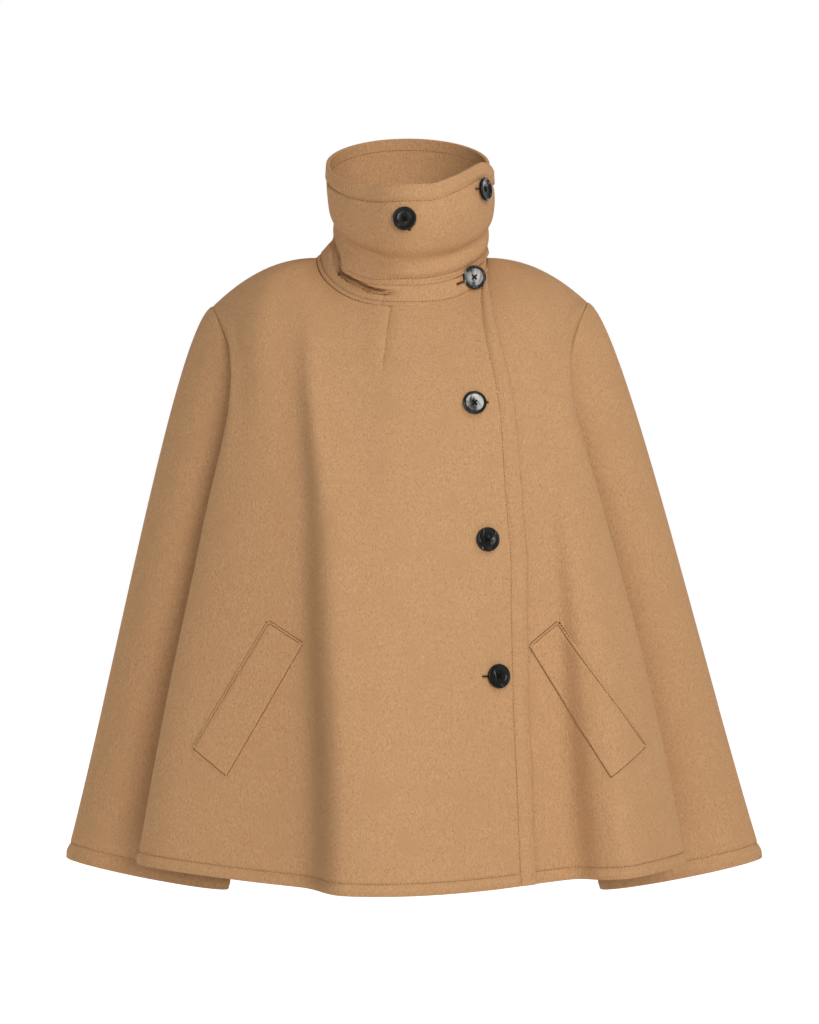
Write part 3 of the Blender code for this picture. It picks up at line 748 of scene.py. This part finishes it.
# Neckband and collar: strips that start at the front, go once round the neck by the wearer's left
# and lap over themselves. Turns are degrees round the neck, and heights are from a strip's own seam.
band = {
    "height": 0.027,
    "stripLength": 0.030,
    "seamStitch": 0.0045,
    "topStitch": 0.0035,  # below the collar's seam
    "seams": (346, 417),  # turns of the two short upright seams
    "seamDepth": 0.0008, "seamWidth": 0.0010,
    # the crease on the wearer's right: its turns and heights, in shares of the band's height
    "creasePlace": [(275, 1.30), (286, 1.15), (294, 0.98), (301, 0.84), (308, 0.74), (316, 0.68),
                    (328, 0.66), (346, 0.56)],
    "creaseStart": 270, "creaseRise": 18, "creaseEnd": 360, "creaseFall": 28,
    "creaseDepth": 0.0130, "creaseWidth": 0.0027,
    "sideEnd": 312, "sideSpan": 24,  # up to here it is deeper, and wider below
    "sideDeeper": 0.35, "sideWider": 0.0060,
    "sag": 0.0076, "sagStart": 295, "sagSpan": 16, "sagTop": 0.018,  # the roll that hangs over it
    "bulge": 0.0110, "bulgeStart": 290, "bulgeSpan": 26, "bulgeHeight": 0.0065, "bulgeWidth": 0.0060,
}
collar = {
    "stripLength": 0.085,
    "lean": 0.016,  # how far the front rim leans out
    "leanTurn": 10,
    "leanPower": 6,
    "rimPuff": 0.0012,  # the turned-in edge above the stitches is thicker
    "rimStitch": 0.0170,
    "innerStitch": 0.0120,
    "seamStitch": 0.0040,
    "rollDepth": 0.0050,  # the soft trough above the lower seam, with a soft swell beneath it
    "rollHeight": 0.024,
    "rollWidth": 0.0065,
    "swellShare": 0.45,
    "swellWidth": 0.006,
}


# a strip round the neck: its points, its turns and the share of its height at each
def neckGrid(pointAt, end, height, fineHeights, fineTurns=()):
    reach = 0.086  # the neck's mean radius
    fineArcs = [(math.radians(turn) * reach, 0.0007) for turn in (end, *fineTurns)]
    turns = np.degrees(stepsTo(math.radians(end) * reach, 0.0032, fineArcs) / reach)
    fineRows = [(0, 0.0007), (height, 0.0007)] + [(at, 0.0008) for at in fineHeights]
    turn, share = np.meshgrid(turns, stepsTo(height, 0.0022, fineRows) / height)
    grid = pointAt(turn, share)
    normals = gridNormals(grid, False, flatCentre(grid))
    return grid + normals * lapLift((turn - 360) * body["neckShare"] / 90)[..., None], turn, share


# On the wearer's right the collar sinks on to the band. The band's upper part bulges over a crease and
# hangs down on to it, so that the crease is a dark slot. This gives the relief and the sag.
def pinchAt(turn, share):
    place = np.interp(turn, *zip(*band["creasePlace"]))
    above = (share - place) * band["height"]
    strength = smooth((turn - band["creaseStart"]) / band["creaseRise"])
    strength = strength * smooth((band["creaseEnd"] - turn) / band["creaseFall"])
    sideward = smooth((band["sideEnd"] - turn) / band["sideSpan"])
    width = band["creaseWidth"] + np.where(above < 0, band["sideWider"] * sideward, 0)
    depth = band["creaseDepth"] * (1 + band["sideDeeper"] * sideward)
    bulge = smooth((turn - band["bulgeStart"]) / band["bulgeSpan"])
    bulge = band["bulge"] * bulge * bump(above - band["bulgeHeight"], band["bulgeWidth"])
    hang = smooth((above - 0.0005) / 0.0030) * smooth((band["sagTop"] - above) / 0.012)
    hang = hang * smooth((turn - band["sagStart"]) / band["sagSpan"])
    return strength * (bulge - depth * bump(above, width)), band["sag"] * strength * hang


def neckband():
    grid, turn, share = neckGrid(bandPoint, neck["bandEnd"], band["stripLength"],
                                 [band["seamStitch"], 0.016, 0.0185, 0.021], band["seams"])
    relief, sag = pinchAt(turn, share)
    for seam, ends in zip(band["seams"], (smooth((0.6 - share) / 0.15), 1 - share * 0.3)):
        off = np.radians(turn - seam) * neck["bandHalf"]
        relief = relief - band["seamDepth"] * ends * bump(off, band["seamWidth"])
    relief = relief + groove(fromEdge(grid, 0), band["seamStitch"])
    relief = relief + groove(fromEdge(grid, 0, True), band["topStitch"], 0.7)
    grid[..., 2] -= sag
    piece, sewn = panel("neckband_cloth", grid, relief)
    shown = turn[0] > 4
    sew("neckband_stitching", [
        stitchLine(sewn, 0, band["seamStitch"], False, shown),
        stitchLine(sewn, 0, band["topStitch"], True, shown),
    ])
    return piece


def funnelCollar():
    length, inset = collar["stripLength"], collar["rimStitch"]
    grid, turn = neckGrid(collarPoint, neck["collarEnd"], length,
                          [0.0020, collar["seamStitch"], 0.0055, 0.0080, length - inset])[:2]
    low, rim = fromEdge(grid, 0), fromEdge(grid, 0, True)
    relief, sag = pinchAt(turn, 1 + low / band["height"])
    height, part = collar["rollHeight"], collar["swellShare"]
    roll = bump(low - height, collar["rollWidth"]) - part * bump(low - part * height, collar["swellWidth"])
    relief = relief - collar["rollDepth"] * (0.5 + 0.5 * np.cos(np.radians(turn))) * roll
    forward = np.maximum(np.cos(np.radians(turn - collar["leanTurn"])), 0)
    relief = relief + collar["lean"] * smooth(low / 0.08) * forward ** collar["leanPower"]
    relief = relief + collar["rimPuff"] * smooth((inset - rim) / 0.003)
    relief = relief + groove(rim, inset, 1.4) + groove(low, collar["seamStitch"], 0.8)
    grid[..., 2] -= sag
    piece, sewn = panel("collar_cloth", grid, relief)
    innerFace = (sewn[0] - sewn[1] * cloth["thickness"], -sewn[1], np.zeros(relief.shape))
    turns = turn[0]
    sew("collar_stitching", [
        stitchLine(sewn, 0, inset, True, turns > 4),
        stitchLine(sewn, 0, collar["seamStitch"], False, turns > 4),
        stitchLine(innerFace, 0, collar["innerStitch"], True, (turns > 60) & (turns < 300)),
    ])
    return piece


half = halfPlaces()
pieces = {
    "front_right": frontRight(),
    "front_left": hemmedPanel("front_left", "front", half),
    "back": hemmedPanel("back", "back", np.concatenate([-half[::-1], half[1:]])),
    "sleeve_right": sleevePanel("sleeve_right", -1),
    "sleeve_left": sleevePanel("sleeve_left", 1),
    "neckband": neckband(),
    "collar": funnelCollar(),
}

# how each panel was cut from the flat cloth: width, length, area, how it is held and by what
cut = {
    "front_right": (0.69, 0.715, 0.308, "hung", ["neckband", "back"]),
    "front_left": (0.56, 0.715, 0.232, "hung", ["neckband", "back"]),
    "back": (1.07, 0.715, 0.407, "hung", ["neckband"]),
    "sleeve_right": (0.55, 0.635, 0.207, "hung", ["front_right", "back"]),
    "sleeve_left": (0.55, 0.635, 0.208, "hung", ["front_left", "back"]),
    "neckband": (0.71, 0.029, 0.018, "draped", ["back", "front_right", "front_left"]),
    "collar": (0.74, 0.110, 0.074, "draped", ["neckband"]),
}
for node, piece in pieces.items():
    width, length, area, held, carriers = cut[node]
    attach(piece, "root")
    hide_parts(node)
print("cloth panels made")


# Pocket welts: strips of the same cloth laid on the fronts, with the long outer edge open to the
# hand. Corners are x and z of top outer, top inner, bottom outer and bottom inner.
welt = {
    "right": [(-0.1420, -0.3874), (-0.1048, -0.4106), (-0.2228, -0.5210), (-0.1856, -0.5500)],
    "left": [(0.1576, -0.3884), (0.1262, -0.4138), (0.2487, -0.5189), (0.2094, -0.5479)],
    "length": 0.156,
    "width": 0.042,
    "height": 0.0019,
    "openHeight": {"right": 0.0004, "left": 0.0016},  # how far the open edge gapes
    "openShadow": {"right": 0.0005, "left": 0.0010},  # the radius of the dark thread inside the open edge, its painted shadow
    "edge": 0.0011,  # how far in from the border the strip comes up to its full height
    "sunk": 0.0004,  # how far the border lies in the front's nap
    "lineInset": 0.0027,
    "linePitch": 0.0030, "borderPitch": 0.0034, "threadRadius": 0.0004,
}


def clothTree(name):
    mesh = pieces[name].data
    return BVHTree.FromPolygons([v.co[:] for v in mesh.vertices], [p.vertices[:] for p in mesh.polygons])


# the cloth's place and mean normal straight behind a point of the front
def onFront(tree, x, z, reach=0.004):
    hits = [tree.ray_cast(Vector((x + dx, -1, z + dz)), Vector((0, 1, 0)))
            for dx, dz in ((0, 0), (reach, 0), (-reach, 0), (0, reach), (0, -reach))]
    total = Vector()
    for normal in (hit[1] for hit in hits if hit[1]):
        total += normal if normal.y < 0 else -normal
    return np.array(hits[0][0]), np.array(total.normalized())


# the strip follows the front under it, from corner to corner, and rises from it at its border
def pocketWelt(side, tree):
    topOuter, topInner, lowOuter, lowInner = (np.array(c) for c in welt[side])
    length, width, edge, inset = (welt[key] for key in ("length", "width", "edge", "lineInset"))
    down, inward = (stepsTo(reach, step, [(0, 0.0003), (reach, 0.0003), (inset, 0.0004)])
                    for reach, step in ((length, 0.004), (width, 0.003)))
    hits = []
    for a in down / length:
        for b in inward / width:
            x, z = (topOuter * (1 - b) + topInner * b) * (1 - a) + (lowOuter * (1 - b) + lowInner * b) * a
            hits.append(onFront(tree, x, z))
    base, normals = np.moveaxis(np.array(hits).reshape(len(down), len(inward), 2, 3), 2, 0)
    dDown, dIn = np.meshgrid(down, inward, indexing="ij")
    gape = welt["openHeight"][side] * np.sin(math.pi * dDown / length) * np.exp(-dIn / 0.006)
    sides = smooth(dDown / edge) * smooth((length - dDown) / edge) * smooth((width - dIn) / edge)
    height = (welt["height"] + welt["sunk"]) * sides * (0.45 + 0.55 * smooth(dIn / edge))
    height = height - welt["sunk"] + gape + (groove(dIn, inset, 0.7) + groove(dDown, inset, 0.7)) * sides
    name = "pocket_welt_" + side
    outer, inner = base + normals * height[..., None], base - normals * 0.0012
    piece = shellObject(name + "_cloth", outer, inner, False, [woolMaterial])
    # the welt's topstitching, in the brown thread, darker than the cloth as painted shade in its grooves
    sew(name + "_stitching",
        [stitchLine((base, normals, height), axis, inset, False, slice(4, -4), welt["linePitch"])
         for axis in (1, 0)], 0.0026, welt["threadRadius"], seamThreadAndShadeMaterial)
    # dark brown threads along the welt's borders, partly its seam and partly painted shade where it meets the
    # front, and along its open edge as the painted shadow inside the pocket
    flush = (base, normals, np.full(height.shape, 0.0001))
    *borders, opening = (stitchLine(flush, axis, 0.0002, last, pitch=welt["borderPitch"])
                         for axis, last in ((1, True), (0, True), (0, False), (1, False)))
    sew(name + "_seam_shade", borders, 0.0036, welt["threadRadius"], seamThreadAndShadeMaterial)
    sew(name + "_opening_shadow", [opening], 0.0036, welt["openShadow"][side], seamThreadAndShadeMaterial)
    return piece


def hornLook(name, look):
    material, tree, shader = newMaterial(name)
    place = addNode(tree, "TexCoord", {}).outputs["Object"]
    drawn = addNode(tree, "Mapping", {"Vector": place, "Rotation": (0.3, 0.6, 0.2), "Scale": (1, 1, 0.3)})
    # grey flecks over the near black: partly smoke in the cast, partly painted highlights, or the painted
    # dish reflection
    smokeAndGlint = addNode(tree, "TexNoise", {"Vector": drawn.outputs[0], "Scale": 1 / look["smokeAndGlintSize"],
                                       "Detail": 3.0, "Roughness": 0.55, "Distortion": 1.2})
    colour = mixColours(tree, hexToLinear(look["body"]), hexToLinear(look["smokeAndGlint"]), smokeAndGlint.outputs["Fac"],
                        look["smokeAndGlintFrom"], look["smokeAndGlintFrom"] + 0.14)
    setInputs(tree, shader, {"Base Color": colour, "Roughness": look["roughness"], "IOR": 1.54,
                             "Specular IOR Level": look["gloss"]})
    return material


# Buttons. The facing is the way a button looks, where it differs from the cloth under it, and the
# slit runs from the button's middle: degrees from +X, and length.
button = {
    "profile": [  # radius and height, from the flat back over the rim into the dish
        (0.0105, 0.0), (0.0119, 0.0007), (0.0125, 0.0018), (0.0125, 0.0027), (0.0122, 0.0035),
        (0.0115, 0.0040), (0.0107, 0.0040), (0.0100, 0.0035), (0.0094, 0.0027), (0.0085, 0.0022),
        (0.0060, 0.0019), (0.0030, 0.0018),
    ],
    "steps": 56,
    "hole": 0.00115,
    "holeFloor": 0.0005,
    "holeReach": 0.0026,
    "dishRadius": 0.0094,
    # the buttons whose dish is painted paler, as a painted reflection of the lamps
    "pale": ("button_3", "button_4"),
    "places": [
        # name, x, z, cloth, facing, lift, slit degrees, slit length
        ("button_1", -0.0015, 0.0315, "collar", (0.0, -1.0, 0.08), 0.0008, -65, 0.0135),
        ("button_2", 0.0827, 0.0685, "collar", None, 0.0008, 186, 0.0095),
        ("button_3", 0.0718, -0.0262, "neckband", (0.14, -0.99, 0.03), 0.0058, 205, 0.0200),
        ("button_4", 0.0711, -0.1632, "front_right", None, 0.0008, 4, 0.0145),
        ("button_5", 0.0836, -0.3043, "front_right", None, 0.0008, 10, 0.0120),
        ("button_6", 0.0944, -0.4444, "front_right", None, 0.0008, 180, 0.0160),
    ],
}
# Polyester cast and polished to look like dark horn: near black under a gloss, its small grey flecks partly
# smoke and partly painted highlights.
horn = {"body": "#0D0C0A", "smokeAndGlint": "#8A8782", "smokeAndGlintSize": 0.007, "smokeAndGlintFrom": 0.61, "roughness": 0.15,
        "gloss": 0.13}
hornMaterial = hornLook("polished dark horn with smoke and painted glints", horn)
# The same cast with its dish painted a paler grey with light patches on two of the buttons: a painted
# reflection of the lamps.
hornDishReflection = dict(horn, body="#3E3C39", smokeAndGlint="#C4C2BE", smokeAndGlintSize=0.016, smokeAndGlintFrom=0.44)
hornDishReflectionMaterial = hornLook("polished horn, dish painted with a lamp reflection", hornDishReflection)
# Thread in browner and near-black dyes, as matt as the camel thread. The brown sews the welts' lines,
# darkened as painted shade in their grooves, and lies along their borders and open edges as painted shade and
# shadow; the near-black sews the buttons and lies in the buttonholes' slits as their painted shadow.
seam = dict(thread, body="#6E4A28", dark="#4E3218", light="#8A6038", shade="#5E3E20")
seamThreadAndShadeMaterial = brushedWool("matt brown seam thread and painted seam shade", seam)
buttonThread = dict(thread, body="#17110C", dark="#0C0906", light="#241B13", shade="#120D09")
buttonThreadAndSlitShadeMaterial = brushedWool("dark waxed button thread and painted slit shadow", buttonThread)


def buttonFrame(facing):
    normal = Vector(facing).normalized()
    side = normal.cross(Vector((0, 0, 1))).normalized() * -1
    up = normal.cross(side) * -1
    return np.array(side), np.array(up), np.array(normal)


# a turned disc with a raised rim and a dish, and four holes cut through the dish
def hornButton(name, centre, facing, pale):
    side, up, normal = buttonFrame(facing)
    steps, rings = button["steps"], len(button["profile"])
    points = []
    for radius, height in button["profile"]:
        for a in np.arange(steps) * 2 * math.pi / steps:
            points.append(centre + side * radius * math.cos(a) + up * radius * math.sin(a) + normal * height)
    faces = tubeFaces(rings, steps)
    faces += [tuple(range(steps))[::-1], tuple(range((rings - 1) * steps, rings * steps))]
    mesh = bpy.data.meshes.new(name)
    mesh.from_pydata([tuple(p) for p in points], [], faces)
    mesh.update()
    obj = newObject(name, mesh, [hornMaterial, hornDishReflectionMaterial])
    rotation = Matrix([side, up, normal]).transposed().to_4x4()
    reach = button["holeReach"] / math.sqrt(2)
    cutters = []
    for x, y in ((1, 1), (-1, 1), (-1, -1), (1, -1)):
        bpy.ops.mesh.primitive_cylinder_add(vertices=16, radius=button["hole"], depth=0.006)
        cutter = bpy.context.object
        spot = centre + side * x * reach + up * y * reach + normal * (0.003 + button["holeFloor"])
        cutter.matrix_world = Matrix.Translation(Vector(spot)) @ rotation
        modifier = obj.modifiers.new("hole", "BOOLEAN")
        modifier.operation = "DIFFERENCE"
        modifier.object = cutter
        cutters.append(cutter)
    bpy.context.view_layer.update()
    holed = bpy.data.meshes.new_from_object(obj.evaluated_get(bpy.context.evaluated_depsgraph_get()))
    obj.modifiers.clear()
    obj.data = holed
    holed.set_sharp_from_angle(angle=math.radians(40))
    for face in holed.polygons:
        place = np.array(face.center) - centre
        height = place.dot(normal)
        inDish = np.linalg.norm(place - normal * height) < button["dishRadius"] and height > 0.0012
        # the forward-facing faces in the dish of those buttons take the painted reflection
        if pale and inDish and abs(np.dot(face.normal, normal)) > 0.5:
            face.material_index = 1
    for cutter in cutters:
        bpy.data.objects.remove(cutter)
    return obj


# two crossed bundles of thread through the four holes
def buttonThreads(name, centre, facing):
    side, up, normal = buttonFrame(facing)
    groups = []
    for way in (unit(side + up), unit(side - up)):
        for offset in (-0.00045, 0.0, 0.00045):
            middle = centre + normal * 0.0021 + np.cross(normal, way) * offset
            groups.append((middle[None], way[None], normal[None]))
    sew(name, groups, 2 * button["holeReach"] + 0.0008, 0.00038, buttonThreadAndSlitShadeMaterial)


# a row of whip stitches along each side of the slit, and a near-black thread laid in the slit as its painted
# shadow
def buttonhole(name, tree, x, z, degrees, length):
    way = np.array([math.cos(math.radians(degrees)), 0, math.sin(math.radians(degrees))])
    whips, slit = [], []
    for reach in np.arange(0.004, length, 0.0007):
        hit, normal = onFront(tree, x + way[0] * reach, z + way[2] * reach)
        along = unit(way - normal * np.dot(way, normal))
        across = np.cross(normal, along)
        for turn in (-1, 1):
            whips.append(((hit + across * turn * 0.0012)[None], across[None], normal[None]))
        slit.append(((hit + normal * 0.0001)[None], along[None], normal[None]))
    sew(name + "_stitching", whips, 0.0018, 0.00036)
    sew(name + "_slit_shadow", slit, 0.0020, 0.00052, buttonThreadAndSlitShadeMaterial)


trees = {name: clothTree(name) for name in ("front_right", "front_left", "neckband", "collar")}
for side in ("right", "left"):
    piece, name = pocketWelt(side, trees["front_" + side]), "pocket_welt_" + side
    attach(piece, "root")
    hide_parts(name)
print("pocket welts made")

for name, x, z, clothName, facing, lift, degrees, length in button["places"]:
    tree = trees[clothName]
    hit, normal = onFront(tree, x, z)
    facing = normal if facing is None else facing
    centre = hit + unit(np.array(facing)) * lift
    piece = hornButton(name + "_horn", centre, facing, name in button["pale"])
    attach(piece, "root")
    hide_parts(name)
    buttonThreads(name + "_thread", centre, facing)
    buttonhole(name.replace("button", "buttonhole"), tree, x, z, degrees, length)
print("buttons made")

# Camera, lights and floor.
studio = {
    "cameraPlace": (0.0038, -3.0, -0.276),
    "focalLength": 97.2,  # millimetres, on a frame 36 wide
    "aim": (0, 0, -0.3),  # where the lamps point
    "lamps": [
        # place, width, watts
        ("key in front on the right", (0.9, -2.9, 0.4), 1.0, 31),
        ("fill in front on the left", (-0.8, -2.9, 0.2), 1.2, 10),
        ("low fill", (0.5, -3.0, -0.3), 1.0, 8),
        ("top in front", (0.2, -2.4, 1.5), 1.2, 6),
        ("top on the right", (1.2, -1.2, 2.0), 1.0, 20),
        ("edge on the left", (-2.2, 1.6, -0.2), 1.2, 32),
        ("edge on the right", (2.2, 1.6, -0.2), 1.2, 20),
    ],
    "floorHeight": -1.10,
    "floorRadius": 9.0,
    "floorSteps": 48,
    "floorColour": "#F4F4F2",
    "floorGlow": 0.92,
    "skyFill": 0.17,
}


def newInScene(name, data, place):
    obj = bpy.data.objects.new(name, data)
    obj.location = place
    bpy.context.scene.collection.objects.link(obj)
    return obj


cameraData = bpy.data.cameras.new("camera")
cameraData.lens = studio["focalLength"]
cameraData.sensor_width = 36
camera = newInScene("camera", cameraData, studio["cameraPlace"])
camera.rotation_euler = (math.pi / 2, 0, 0)
bpy.context.scene.camera = camera

for name, place, size, power in studio["lamps"]:
    data = bpy.data.lights.new(name, "AREA")
    data.energy = power
    data.size = size
    way = Vector(studio["aim"]) - Vector(place)
    newInScene(name, data, place).rotation_euler = way.to_track_quat("-Z", "Y").to_euler()


# 1 for a ray that shows the background: to the camera, or by way of a gloss or a clear thing
def backgroundRays(tree):
    path = addNode(tree, "LightPath", {}).outputs
    seen = addNode(tree, "Math", {0: path["Is Camera Ray"], 1: path["Is Glossy Ray"]}, operation="MAXIMUM")
    ends = {0: seen.outputs[0], 1: path["Is Transmission Ray"]}
    return addNode(tree, "Math", ends, operation="MAXIMUM").outputs[0]


# Matt emulsion, rolled on: it scatters light softly and reads as plain white, with the coat's soft
# shadow still on it.
def palePaint(name):
    material, tree, shader = newMaterial(name)
    glow = addNode(tree, "Math", {0: backgroundRays(tree), 1: studio["floorGlow"]}, operation="MULTIPLY")
    setInputs(tree, shader, {"Base Color": hexToLinear(studio["floorColour"]), "Roughness": 0.9,
                             "Emission Color": (1, 1, 1, 1), "Emission Strength": glow.outputs[0]})
    return material


rim = [(studio["floorRadius"] * math.cos(a), studio["floorRadius"] * math.sin(a), studio["floorHeight"])
       for a in np.arange(studio["floorSteps"]) * 2 * math.pi / studio["floorSteps"]]
mesh = bpy.data.meshes.new("studio_floor")
mesh.from_pydata(rim, [], [tuple(range(len(rim)))])
newObject("studio_floor", mesh, [palePaint("matt white studio paint")])

world = bpy.data.worlds.new("studio")
bpy.context.scene.world = world
world.use_nodes = True
tree = world.node_tree
tree.nodes.clear()
fill, white = (addNode(tree, "Background", {"Color": (1, 1, 1, 1), "Strength": strength}).outputs[0]
               for strength in (studio["skyFill"], 1.0))
mixed = addNode(tree, "MixShader", {0: backgroundRays(tree), 1: fill, 2: white})
addNode(tree, "OutputWorld", {"Surface": mixed.outputs[0]})

bpy.context.scene.view_settings.view_transform = "Standard"
print("camera, lights and floor made")
